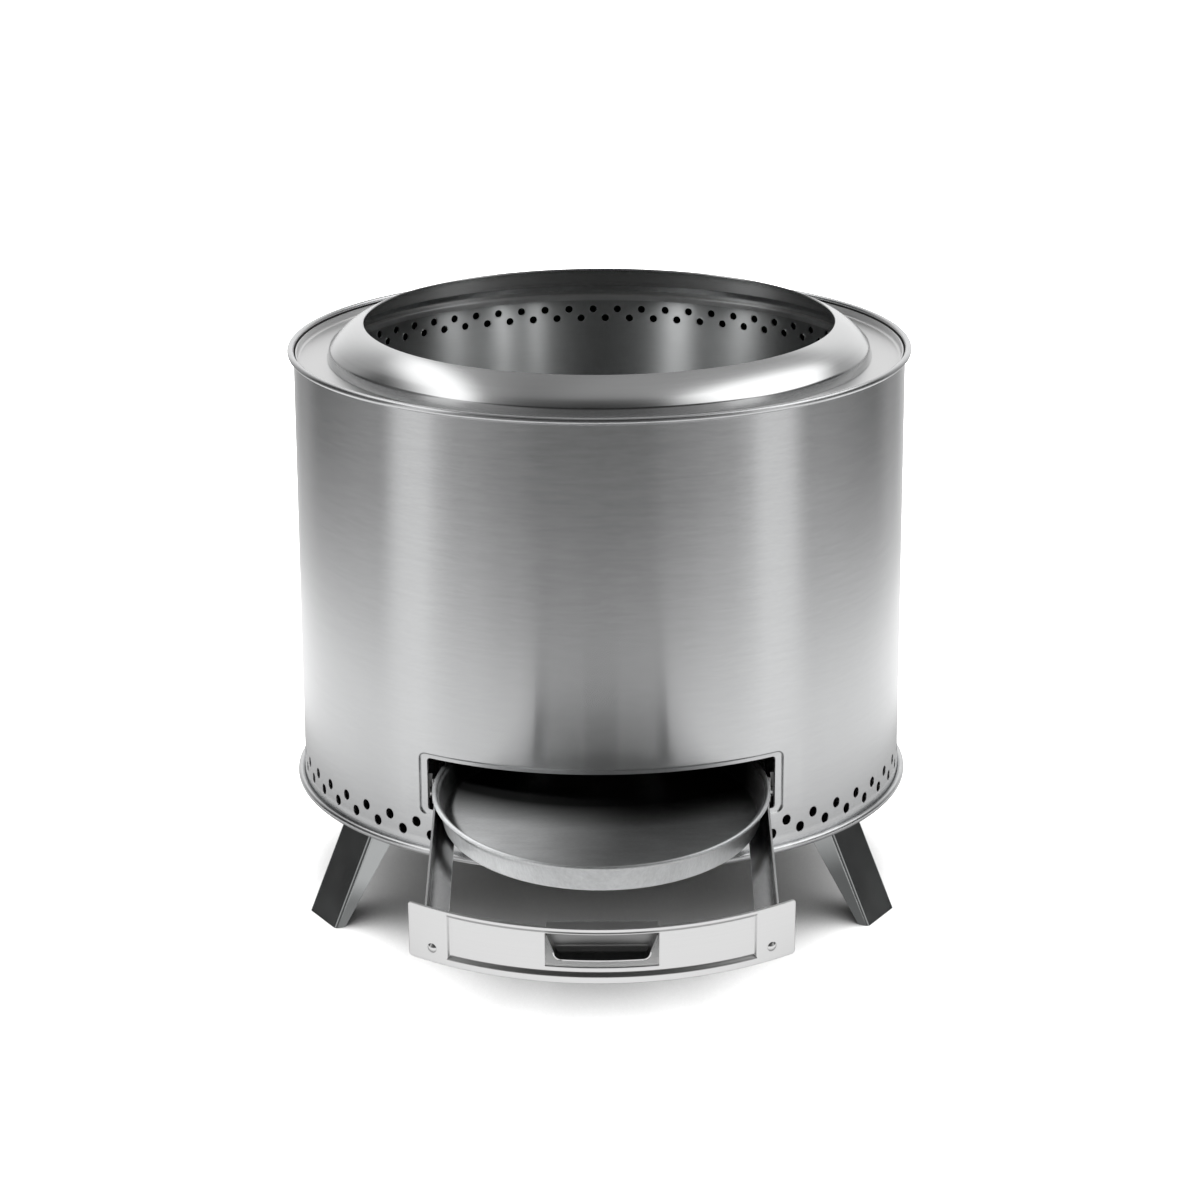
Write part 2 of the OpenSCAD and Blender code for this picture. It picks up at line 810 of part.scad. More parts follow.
// bent bracket under the base plate, inside the leg's channel
module leg_bracket(a) {
  up = leg_pin_drop;
  tail = 18;
  nose = 5.5;
  color(steel)
  difference() {
    at_leg(a)
    difference() {
      union() {
        translate([-tail, -bracket_half, up - leg_sheet]) cube([tail + nose, 2 * bracket_half, leg_sheet]);
        for (y = [-bracket_half, bracket_half - leg_sheet])
          translate([0, y + leg_sheet, 0])
            rotate([90, 0, 0])
              linear_extrude(leg_sheet) {
                circle(r = nose, $fn = 48);
                polygon([[-tail, up], [nose, up], [nose, 0], [-3, -4.6]]);
              }
      }
      leg_pin_bore();
    }
    rivet_bores(a);
  }
}

module leg_bracket_left() {
  leg_bracket(leg_turns[0][1]);
}

module leg_bracket_right() {
  leg_bracket(leg_turns[1][1]);
}

module leg_bracket_rear() {
  leg_bracket(leg_turns[2][1]);
}

module leg_pin(a) {
  half = leg_w / 2 + seat;
  head = 1.5;
  color(bright_steel)
  at_leg(a)
  rotate([90, 0, 0]) {
    translate([0, 0, -half]) cylinder(h = 2 * half, r = leg_pin_r, $fn = 48);
    for (z = [-half - head, half])
      translate([0, 0, z]) cylinder(h = head, r = leg_pin_r + 2, $fn = 48);
  }
}

module leg_pin_left() {
  leg_pin(leg_turns[0][1]);
}

module leg_pin_right() {
  leg_pin(leg_turns[1][1]);
}

module leg_pin_rear() {
  leg_pin(leg_turns[2][1]);
}

// rivets that hold the leg brackets to the base plate
module bracket_rivets() {
  color(bright_steel)
  for (leg = leg_turns)
    rivet_places(leg[1]) {
      translate([0, 0, sheet]) rivet(bracket_head_r, head_h, bracket_rivet_r, sheet + leg_sheet);
      translate([0, 0, -leg_sheet - tail_h]) cylinder(h = tail_h, r = bracket_rivet_r + 1.6, $fn = 32);
    }
}

outer_shell();
top_deck();
flame_ring();
fire_chamber();
chamber_floor();
burn_grate();
base_plate();
runner_left();
runner_right();
runner_pins();
runner_bracket_left();
runner_bracket_right();
rear_runner_support();
drawer_rail_left();
drawer_rail_right();
drawer_front();
drawer_handle();
drawer_rivets();
guide_rivets();
ash_pan();
leg_left();
leg_right();
leg_rear();
leg_bracket_left();
leg_bracket_right();
leg_bracket_rear();
leg_pin_left();
leg_pin_right();
leg_pin_rear();
bracket_rivets();
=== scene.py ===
"""Looks of a round stainless fire pit with its ash drawer pulled out."""

import json
import math

import bmesh
import bpy
from mathutils import Euler, Matrix, Vector


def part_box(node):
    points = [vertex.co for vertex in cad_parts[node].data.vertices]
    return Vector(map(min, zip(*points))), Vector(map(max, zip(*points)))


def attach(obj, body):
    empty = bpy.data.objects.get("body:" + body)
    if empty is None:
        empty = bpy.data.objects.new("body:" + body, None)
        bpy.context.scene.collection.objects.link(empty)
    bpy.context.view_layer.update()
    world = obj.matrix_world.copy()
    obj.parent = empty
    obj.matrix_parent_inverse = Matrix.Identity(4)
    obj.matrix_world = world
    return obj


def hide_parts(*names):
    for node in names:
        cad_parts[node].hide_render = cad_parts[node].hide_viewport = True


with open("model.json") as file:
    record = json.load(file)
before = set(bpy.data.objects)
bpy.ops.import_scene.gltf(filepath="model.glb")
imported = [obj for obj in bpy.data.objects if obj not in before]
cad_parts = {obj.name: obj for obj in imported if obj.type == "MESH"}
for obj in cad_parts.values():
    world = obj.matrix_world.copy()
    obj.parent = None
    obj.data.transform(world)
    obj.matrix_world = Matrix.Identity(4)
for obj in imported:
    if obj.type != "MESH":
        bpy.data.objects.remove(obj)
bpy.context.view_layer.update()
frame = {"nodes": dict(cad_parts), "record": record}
nodes = frame["nodes"]

def camera():
    """The photograph's viewpoint: its field of view, its height and its small roll."""
    data = bpy.data.cameras.new("camera")
    data.sensor_width = 36.0
    data.angle = math.radians(19.005)
    data.clip_end = 60.0
    obj = bpy.data.objects.new("camera", data)
    obj.location = (0, -2.7836, 1.1006)
    looks_down = math.radians(17.449)
    pitch, yaw, roll = math.pi / 2 - looks_down, 0.00014, -0.00455
    turn = Euler((pitch, 0, yaw)).to_matrix() @ Matrix.Rotation(roll, 3, "Z")
    obj.rotation_euler = turn.to_euler()
    bpy.context.scene.collection.objects.link(obj)
    bpy.context.scene.camera = obj


MM = 0.001

# Sizes in millimetres, as in the solids; heights are above the ground
SHEET = 1.2                             # walls, deck, pan and scoop
THICK_SHEET = 1.5                       # flame ring and drawer front
SHELL_R = 243                           # outside of the shell's wall
SHELL_FOOT, SHELL_TOP = 88.2, 439.4     # middles of the shell's two beads
FOOT_FLARE, TOP_FLARE = 97.2, 435.4     # where the wall begins to flare towards them
CHAMBER_R = 229.2                       # outside of the fire chamber's wall
VENTS, VENT_R, VENT_ROWS, VENT_Z = 55, 4.1, 8.7, 100.4      # count in a row, radius, row spacing, lower row
JETS, JET_R, JET_ROWS, JET_Z = 69, 3.15, 7.8, 408.3
RECESS = (139.48, 117.5, 166.6, 5)      # half length, bottom, top and corner radius
DOORWAY = (133.28, 121.0, 162.9, 2.5)
DRAWER_TRAVEL, DRAWER_DROOP = 225, 6.5  # the droop is in degrees
PANEL_DEPTH = 2.6                       # of the panel pressed into the drawer front

# Cells of a wall: columns from one hole of a row to the next, and the block that each hole takes
PER_HOLE, HALF_BLOCK, BLOCK_LEVELS = 16, 4, 8


def node_group(name, inputs, outputs):
    """An empty shader group with float inputs (name, value) and float outputs."""
    group = bpy.data.node_groups.new(name, "ShaderNodeTree")
    for label, value in inputs:
        socket = group.interface.new_socket(label, in_out="INPUT", socket_type="NodeSocketFloat")
        socket.default_value = value
    for label in outputs:
        group.interface.new_socket(label, in_out="OUTPUT", socket_type="NodeSocketFloat")
    return group, group.nodes.new("NodeGroupInput"), group.nodes.new("NodeGroupOutput")


def math_node(tree, operation, a, b=None):
    node = tree.nodes.new("ShaderNodeMath")
    node.operation = operation
    for socket, value in zip(node.inputs, (a, b)):
        if isinstance(value, bpy.types.NodeSocket):
            tree.links.new(value, socket)
        elif value is not None:
            socket.default_value = value
    return node.outputs[0]


def distance(tree, x, y):
    """How far a place is from the upright axis."""
    squares = [math_node(tree, "MULTIPLY", side, side) for side in (x, y)]
    return math_node(tree, "SQRT", math_node(tree, "ADD", *squares))


def noise(tree, vector, scale, detail=3.0, rough=0.5):
    node = tree.nodes.new("ShaderNodeTexNoise")
    node.inputs["Scale"].default_value = scale
    node.inputs["Detail"].default_value = detail
    node.inputs["Roughness"].default_value = rough
    tree.links.new(vector, node.inputs["Vector"])
    return node.outputs["Fac"]


def mapped(tree, value, low, high, start=0.25, end=0.75):
    """Carries a value from the range start to end over to low to high, and stops there."""
    node = tree.nodes.new("ShaderNodeMapRange")
    node.inputs["From Min"].default_value = start
    node.inputs["From Max"].default_value = end
    node.inputs["To Min"].default_value = low
    node.inputs["To Max"].default_value = high
    tree.links.new(value, node.inputs["Value"])
    return node.outputs[0]


def ramp(tree, value, stops):
    """Light from stops (place, light), eased between them; a ramp holds no more than 1, so it is kept as a share."""
    most = 2.0
    node = tree.nodes.new("ShaderNodeValToRGB")
    node.color_ramp.interpolation = "EASE"
    elements = node.color_ramp.elements
    while len(elements) < len(stops):
        elements.new(0.5)
    for element, (at, light) in zip(elements, stops):
        element.position = at
        element.color = (light / most, light / most, light / most, 1)
    tree.links.new(value, node.inputs[0])
    return math_node(tree, "MULTIPLY", node.outputs[0], most)


def blend(tree, share, low, high):
    """low where the share is 0, high where it is 1; each is a socket or a number."""
    node = tree.nodes.new("ShaderNodeMix")
    node.data_type = "FLOAT"
    for socket, value in zip((node.inputs[0], node.inputs[2], node.inputs[3]), (share, low, high)):
        if isinstance(value, bpy.types.NodeSocket):
            tree.links.new(value, socket)
        else:
            socket.default_value = value
    return node.outputs[0]


def grain_group():
    """Brushed grain. Around 1 runs it round the pit's axis, else along the piece's own axes."""
    inputs = [("Around", 0.0), ("Across X", 20.0), ("Across Y", 20.0), ("Across Z", 900.0)]
    group, gin, gout = node_group("brushed_grain", inputs, ["Tone", "Height"])
    link = group.links.new
    place = group.nodes.new("ShaderNodeTexCoord")
    parts = group.nodes.new("ShaderNodeSeparateXYZ")
    link(place.outputs["Object"], parts.inputs[0])
    x, y, z = parts.outputs
    angle = math_node(group, "ARCTAN2", x, y)
    arc = math_node(group, "MULTIPLY", angle, SHELL_R * MM)
    radius = distance(group, x, y)
    round_x = group.nodes.new("ShaderNodeMix")
    round_y = group.nodes.new("ShaderNodeMix")
    for mix, flat, turned in ((round_x, x, arc), (round_y, y, radius)):
        mix.data_type = "FLOAT"
        link(gin.outputs["Around"], mix.inputs[0])
        link(flat, mix.inputs[2])
        link(turned, mix.inputs[3])
    stretched = group.nodes.new("ShaderNodeCombineXYZ")
    ways = ((round_x.outputs[0], "Across X"), (round_y.outputs[0], "Across Y"), (z, "Across Z"))
    for socket, (value, by) in zip(stretched.inputs, ways):
        link(math_node(group, "MULTIPLY", value, gin.outputs[by]), socket)
    fine = noise(group, stretched.outputs[0], 1.0, 4.0, 0.65)
    bands = noise(group, stretched.outputs[0], 0.17, 2.0, 0.5)
    tone = blend(group, 0.35, fine, bands)
    link(tone, gout.inputs["Tone"])
    link(fine, gout.inputs["Height"])
    return group


def cloud_group():
    """Slow mottling of handled or rolled sheet."""
    group, gin, gout = node_group("mottle", [("Size", 12.0)], ["Cloud"])
    place = group.nodes.new("ShaderNodeTexCoord")
    cloud = group.nodes.new("ShaderNodeTexNoise")
    cloud.inputs["Detail"].default_value = 4.0
    group.links.new(gin.outputs["Size"], cloud.inputs["Scale"])
    group.links.new(place.outputs["Object"], cloud.inputs["Vector"])
    group.links.new(cloud.outputs["Fac"], gout.inputs["Cloud"])
    return group


def steel(name, colour, rough, around=0.0, across=(20.0, 20.0, 900.0), tone=0.08, spread=0.06, bump=0.02,
          stretch=0.0, turn=0.25, cloud=0.04, cloud_size=12.0, edge=0.0, metal=1.0, sunk=False):
    """Stainless steel: base colour, mean roughness, and how strongly grain and mottling show in it.
    Where it is sunk inside the pit its colour is painted dark, as painted shade."""
    mat = bpy.data.materials.new(name)
    mat.use_nodes = True
    tree = mat.node_tree
    link = tree.links.new
    skin = tree.nodes["Principled BSDF"]
    skin.inputs["Metallic"].default_value = metal
    skin.inputs["Anisotropic"].default_value = stretch
    skin.inputs["Anisotropic Rotation"].default_value = turn
    grain = tree.nodes.new("ShaderNodeGroup")
    grain.node_tree = GRAIN
    grain.inputs["Around"].default_value = around
    for label, value in zip(("Across X", "Across Y", "Across Z"), across):
        grain.inputs[label].default_value = value
    mottle = tree.nodes.new("ShaderNodeGroup")
    mottle.node_tree = MOTTLE
    mottle.inputs["Size"].default_value = cloud_size
    streak = mapped(tree, grain.outputs["Tone"], -tone, tone)
    patch = mapped(tree, mottle.outputs["Cloud"], -cloud, cloud)
    shade = math_node(tree, "ADD", math_node(tree, "ADD", streak, patch), 1.0)
    # painted shade: the colour darkens inside the shell's radius, towards the pit's axis
    if sunk:
        place = tree.nodes.new("ShaderNodeNewGeometry")
        parts = tree.nodes.new("ShaderNodeSeparateXYZ")
        link(place.outputs["Position"], parts.inputs[0])
        x, y = parts.outputs[0], parts.outputs[1]
        inside_shade = mapped(tree, distance(tree, x, y), 0.04, 1.0, 0.21, 0.25)
        shade = math_node(tree, "MULTIPLY", shade, inside_shade)
    tinted = tree.nodes.new("ShaderNodeVectorMath")
    tinted.operation = "SCALE"
    tinted.inputs[0].default_value = colour
    link(shade, tinted.inputs["Scale"])
    link(tinted.outputs[0], skin.inputs["Base Color"])
    uneven = math_node(tree, "ADD", mapped(tree, grain.outputs["Tone"], rough - spread, rough + spread),
                       mapped(tree, mottle.outputs["Cloud"], -cloud, cloud))
    link(uneven, skin.inputs["Roughness"])
    ridges = tree.nodes.new("ShaderNodeBump")
    ridges.inputs["Strength"].default_value = bump
    ridges.inputs["Distance"].default_value = 0.0004
    link(grain.outputs["Height"], ridges.inputs["Height"])
    link(ridges.outputs[0], skin.inputs["Normal"])
    if edge:
        soft = tree.nodes.new("ShaderNodeBevel")
        soft.samples = 4
        soft.inputs["Radius"].default_value = edge
        link(soft.outputs[0], ridges.inputs["Normal"])
    if stretch:
        direction = tree.nodes.new("ShaderNodeTangent")
        direction.direction_type = "RADIAL"
        direction.axis = "Z"
        link(direction.outputs[0], skin.inputs["Tangent"])
    return mat


def paint(piece, mat):
    piece.data.materials.clear()
    piece.data.materials.append(mat)


def softened(corners, closed=True):
    """Points of an outline whose corners (x, y, radius) are rounded."""
    out = []
    n = len(corners)
    for i, (x, y, r) in enumerate(corners):
        if r == 0 or (not closed and i in (0, n - 1)):
            out.append((x, y))
            continue
        p, a, b = Vector((x, y)), Vector(corners[i - 1][:2]), Vector(corners[(i + 1) % n][:2])
        u, v = (a - p), (b - p)
        reach = 0.48 * min(u.length, v.length)
        u.normalize()
        v.normalize()
        half = u.angle(v) / 2
        cut = min(r / math.tan(half), reach)
        r = cut * math.tan(half)
        mid = p + (u + v).normalized() * (r / math.sin(half))
        start, end = p + u * cut - mid, p + v * cut - mid
        first = math.atan2(start.y, start.x)
        sweep = (math.atan2(end.y, end.x) - first + math.pi) % (2 * math.pi) - math.pi
        count = max(3, math.ceil(abs(sweep) / 0.2))
        for k in range(count + 1):
            t = first + sweep * k / count
            out.append((mid.x + r * math.cos(t), mid.y + r * math.sin(t)))
    return out


def sheet_outline(path, thick):
    """Closed outline of a sheet whose one face follows the path; thick is laid to the path's right.
    It is the path, three points of a slightly crowned end, the way back, and three more of the other end."""
    back = []
    n = len(path)
    for i, (x, y) in enumerate(path):
        a, b = path[max(i - 1, 0)], path[min(i + 1, n - 1)]
        along = Vector((b[0] - a[0], b[1] - a[1])).normalized()
        back.append((x + along.y * thick, y - along.x * thick))
    ends = []
    for (x0, y0), (x1, y1), (xn, yn) in ((path[-1], back[-1], path[-2]), (back[0], path[0], back[1])):
        out = Vector((x0 - xn, y0 - yn)).normalized() * (0.12 * thick)
        ends.append([(x0 + (x1 - x0) * t + out.x, y0 + (y1 - y0) * t + out.y) for t in (0.15, 0.5, 0.85)])
    return path + ends[0] + back[::-1] + ends[1]


def wire_outline(r, z, radius, count=20):
    """The round section of a rolled edge."""
    turns = [2 * math.pi * i / count for i in range(count)]
    return [(r + radius * math.cos(t), z + radius * math.sin(t)) for t in turns]


def piece(name, points, faces, slot, body, stands_for, placed=None):
    """A mesh from points in millimetres, welded, with its faces turned outwards and shaded smoothly."""
    mesh = bpy.data.meshes.new(name)
    mesh.from_pydata([(x * MM, y * MM, z * MM) for x, y, z in points], [], faces)
    work = bmesh.new()
    work.from_mesh(mesh)
    bmesh.ops.remove_doubles(work, verts=work.verts, dist=1e-7)
    bmesh.ops.recalc_face_normals(work, faces=work.faces)
    for face in work.faces:
        face.smooth = True
    work.to_mesh(mesh)
    work.free()
    obj = bpy.data.objects.new(name, mesh)
    bpy.context.scene.collection.objects.link(obj)
    if placed:
        obj.matrix_world = placed
    weigh = obj.modifiers.new("even_shading", "WEIGHTED_NORMAL")
    weigh.weight = 100
    weigh.keep_sharp = True
    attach(obj, body)
    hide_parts(stands_for)
    paint(obj, STEELS[slot])
    return obj


def round_piece(name, outlines, slot, body, stands_for, placed=None, count=360):
    """Closed outlines in radius and height, turned round the pit's axis."""
    points, faces = [], []
    for outline in outlines:
        base, n = len(points), len(outline)
        for j in range(count):
            t = 2 * math.pi * j / count
            points += [(r * math.sin(t), -r * math.cos(t), z) for r, z in outline]
        for j in range(count):
            here, there = base + j * n, base + (j + 1) % count * n
            faces += [(here + i, there + i, there + (i + 1) % n, here + (i + 1) % n) for i in range(n)]
    return piece(name, points, faces, slot, body, stands_for, placed)


class Wall:
    """A round wall, outside and inside together, with finished rims where it is cut."""

    def __init__(self, columns, levels, radius, sheet):
        self.columns, self.levels, self.radius, self.sheet = columns, levels, radius, sheet
        self.points, self.faces, self.rims = [], [], []
        self.grid, self.cut = {}, set()

    def add(self, turn, r, z):
        self.points.append((r, turn, z))
        return len(self.points) - 1

    def at(self, i, k):
        i %= self.columns
        if (i, k) not in self.grid:
            z = self.levels[k]
            self.grid[i, k] = self.add(2 * math.pi * i / self.columns, self.radius(z), z)
        return self.grid[i, k]

    def border(self, i0, i1, k0, k1):
        """Grid points round a block of cells, anticlockwise from its lower left corner."""
        return ([self.at(i, k0) for i in range(i0, i1)] + [self.at(i1, k) for k in range(k0, k1)]
                + [self.at(i, k1) for i in range(i1, i0, -1)] + [self.at(i0, k) for k in range(k1, k0, -1)])

    def take_out(self, i0, i1, k0, k1):
        self.cut |= {(i % self.columns, k) for i in range(i0, i1) for k in range(k0, k1)}

    def join(self, a, b):
        n = len(a)
        self.faces += [(a[i], a[(i + 1) % n], b[(i + 1) % n], b[i]) for i in range(n)]

    def hole(self, centre, k0, radius, edge=0.2):
        """A round hole with a softened edge, in the block of cells about a column and up from a level."""
        i0, i1, k1 = centre - HALF_BLOCK, centre + HALF_BLOCK, k0 + BLOCK_LEVELS
        self.take_out(i0, i1, k0, k1)
        loop = self.border(i0, i1, k0, k1)
        turn = 2 * math.pi * centre / self.columns
        z = (self.levels[k0] + self.levels[k1]) / 2
        r = self.radius(z)
        angles = [2 * math.pi * j / len(loop) - 0.75 * math.pi for j in range(len(loop))]
        for out, drop in ((edge, 0.0), (0.3 * edge, 0.3 * edge), (0.0, edge)):
            wide = radius + out
            ring = [self.add(turn + wide * math.cos(t) / r, r - drop, z + wide * math.sin(t)) for t in angles]
            self.join(loop, ring)
            loop = ring
        self.rims.append(loop)

    def build(self, name, slot, body, stands_for, gap_side):
        """gap_side is 1 where the air gap is outside the wall and -1 where it is inside."""
        top = len(self.levels) - 1
        for i in range(self.columns):
            for k in range(top):
                if (i, k) not in self.cut:
                    self.faces.append((self.at(i, k), self.at(i + 1, k), self.at(i + 1, k + 1), self.at(i, k + 1)))
        for k in (0, top):
            self.rims.append([self.at(i, k) for i in range(self.columns)])
        n = len(self.points)
        faces = self.faces + [tuple(v + n for v in reversed(face)) for face in self.faces]
        for loop in self.rims:
            m = len(loop)
            faces += [(loop[i], loop[(i + 1) % m], loop[(i + 1) % m] + n, loop[i] + n) for i in range(m)]
        round_points = self.points + [(self.inside(r, z), t, z) for r, t, z in self.points]
        points = [(r * math.sin(t), -r * math.cos(t), z) for r, t, z in round_points]
        wall = piece(name, points, faces, slot, body, stands_for)
        # painted shade: faces that look into the air gap get near-black steel
        wall.data.materials.append(STEELS["gap_shade_steel"])
        for face in wall.data.polygons:
            outward = face.normal.x * face.center.x + face.normal.y * face.center.y
            face.material_index = int(outward * gap_side > 0.5 * math.hypot(face.center.x, face.center.y))
        return wall

    def inside(self, r, z):
        return min(r, self.radius(z)) - self.sheet


def frame_points(half, low, high, corner, ends, rise):
    """Points round an opening, anticlockwise from the middle of its lower left corner; ends and rise
    are the counts of steps along it and up it, four of them in each half corner."""
    in_corner = 4
    out = []
    sides = [(half - corner, low + corner, -90, ends), (half - corner, high - corner, 0, rise),
             (-half + corner, high - corner, 90, ends), (-half + corner, low + corner, 180, rise)]
    for j, (x, z, angle, count) in enumerate(sides):
        px, pz = sides[j - 1][:2]
        for i in range(count):
            if i < in_corner:
                t, cx, cz = angle - 45 + 45 * i / in_corner, px, pz
            elif i > count - in_corner:
                t, cx, cz = angle + 45 * (i - count + in_corner) / in_corner, x, z
            else:
                share = (i - in_corner) / (count - 2 * in_corner)
                t, cx, cz = angle, px + (x - px) * share, pz + (z - pz) * share
            a = math.radians(t)
            out.append((cx + corner * math.cos(a), cz + corner * math.sin(a)))
    return out


def steps(low, high, count):
    """Evenly spaced values from low up to high, without high itself."""
    return [low + (high - low) * i / count for i in range(count)]


def wall_radius(z):
    """The shell's wall flares a little towards both of its beads."""
    foot, top = min(1, max(0, (FOOT_FLARE - z) / 4)), max(0, (z - TOP_FLARE) / 4)
    return SHELL_R + 0.3 * foot + 0.9 * top


def build_shell():
    """The shell's wall with its vents, recess and doorway, and its two rolled beads."""
    low = VENT_Z - VENT_ROWS / 2
    band = low + 2 * VENT_ROWS
    below, beside, above, door_head = 4, 24, 6, 172
    levels = (steps(SHELL_FOOT, low, below) + steps(low, band, 2 * BLOCK_LEVELS) + steps(band, door_head, beside)
              + steps(door_head, TOP_FLARE, above) + [TOP_FLARE, TOP_FLARE + 2, SHELL_TOP])
    wall = Wall(PER_HOLE * VENTS, levels, wall_radius, SHEET)
    for i in range(VENTS):
        wall.hole(PER_HOLE * i, below, VENT_R)
        wall.hole(PER_HOLE * i + PER_HOLE // 2, below + BLOCK_LEVELS, VENT_R)
    # the recess pressed in round the drawer's doorway, and the doorway cut in it
    door_foot, door_half = below + 2 * BLOCK_LEVELS, 96
    block = (-door_half, door_half, door_foot, door_foot + beside)
    wall.take_out(*block)
    loop = wall.border(*block)
    recess_folds = [(3.0, 0.0), (1.1, 0.0), (0.6, 0.08), (0.2, 0.4), (0.0, 0.8), (-0.1, 1.2), (-0.35, 1.6),
                    (-0.9, 1.8)]
    doorway_folds = [(0.3, 1.8), (0.08, 1.9), (0.0, 2.1)]
    for (half, foot, head, corner), folds in ((RECESS, recess_folds), (DOORWAY, doorway_folds)):
        for out, drop in folds:
            path = frame_points(half + out, foot - out, head + out, corner + out, 2 * door_half, beside)
            r = SHELL_R - drop
            ring = [wall.add(math.asin(x / r), r, z) for x, z in path]
            wall.join(loop, ring)
            loop = ring
    wall.rims.append(loop)
    wall.build("shell_wall", "shell_steel", "pit", "outer_shell", -1)
    beads = [wire_outline(245.3, SHELL_TOP, 2.6), wire_outline(246.1, SHELL_FOOT, 2.9)]
    round_piece("shell_beads", beads, "shell_steel", "pit", "outer_shell", count=480)


def build_chamber():
    """The fire chamber's wall with its two rows of holes, and the flanges at its foot and top."""
    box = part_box("fire_chamber")
    low, high = box[0].z / MM, box[1].z / MM
    band = JET_Z - JET_ROWS / 2
    band_top = band + 2 * JET_ROWS
    below, above = 6, 3
    levels = (steps(low, band, below) + steps(band, band_top, 2 * BLOCK_LEVELS)
              + steps(band_top, high, above) + [high])
    wall = Wall(PER_HOLE * JETS, levels, lambda z: CHAMBER_R, SHEET)
    lower_turn, upper_turn = 4, 12
    for i in range(JETS):
        wall.hole(PER_HOLE * i + lower_turn, below, JET_R, 0.15)
        wall.hole(PER_HOLE * i + upper_turn, below + BLOCK_LEVELS, JET_R, 0.15)
    chamber = wall.build("chamber_wall", "chamber_steel", "pit", "fire_chamber", 1)
    bend, foot_reach, top_reach = CHAMBER_R - 0.1, 219.9, 237.2
    flanges = [[(foot_reach, low), (bend, low), (bend, low + SHEET), (foot_reach, low + SHEET)],
               [(bend, high - SHEET), (top_reach, high - SHEET), (top_reach, high), (bend, high)]]
    round_piece("chamber_flanges", flanges, "chamber_steel", "pit", "fire_chamber", count=240)
    chamber_light(chamber)


def build_deck():
    """Dished ring between the shell's top bead and the flame ring."""
    outer, inner, rim, flat, lip = 240.3, 211, 438.2, 432.5, 427.5
    path = softened([(outer, rim, 0), (outer, flat, 2.6), (inner, flat, 1.3), (inner, lip, 0)], False)
    round_piece("deck_ring", [sheet_outline(path, -SHEET)], "deck_steel", "pit", "top_deck")


def build_flame_ring():
    """Crowned slope from the ring's inner edge down to its hip, and the skirt under the hip."""
    hip, edge, skirt = Vector((214.5, 440.8)), Vector((187.4, 460.2)), (216.5, 432.8)
    bulge = 2
    out = Vector((hip.y - edge.y, edge.x - hip.x)).normalized() * -1
    shares = (0, 0.12, 0.25, 0.4, 0.55, 0.7, 0.82)
    slope = [edge + (hip - edge) * t + out * (bulge * 4 * t * (1 - t)) for t in shares]
    path = softened([(v.x, v.y, 0) for v in slope] + [(hip.x, hip.y, 4.5), (*skirt, 0)], False)
    outline = sheet_outline(path, THICK_SHEET)
    round_piece("flame_ring_sheet", [outline], "ring_steel", "lifting_ring", "flame_ring")


def drawer_place():
    """The drawer is built shut and level; it is shown drawn out and drooping on its pivots."""
    pivot = Vector((0, -0.195, 0.133))
    droop = Matrix.Rotation(math.radians(DRAWER_DROOP), 4, "X")
    drawn_out = Matrix.Translation((0, -DRAWER_TRAVEL * MM, 0))
    return Matrix.Translation(pivot) @ droop @ Matrix.Translation(-pivot) @ drawn_out


def build_pan():
    """Round ash pan with a rolled rim."""
    low, rim = 126.9, 149.3
    path = softened([(0, low, 0), (121, low, 4), (123.9, rim - 2.2, 2), (125.2, rim - 0.6, 0)], False)
    outlines = [sheet_outline(path, -SHEET), wire_outline(126.6, rim, 1.9)]
    pan = round_piece("pan_sheet", outlines, "pan_steel", "drawer", "ash_pan", drawer_place())
    pan_light(pan)


def ease(t):
    """From 0 to 1 with a soft start and end."""
    t = min(1, max(0, t))
    return t * t * (3 - 2 * t)


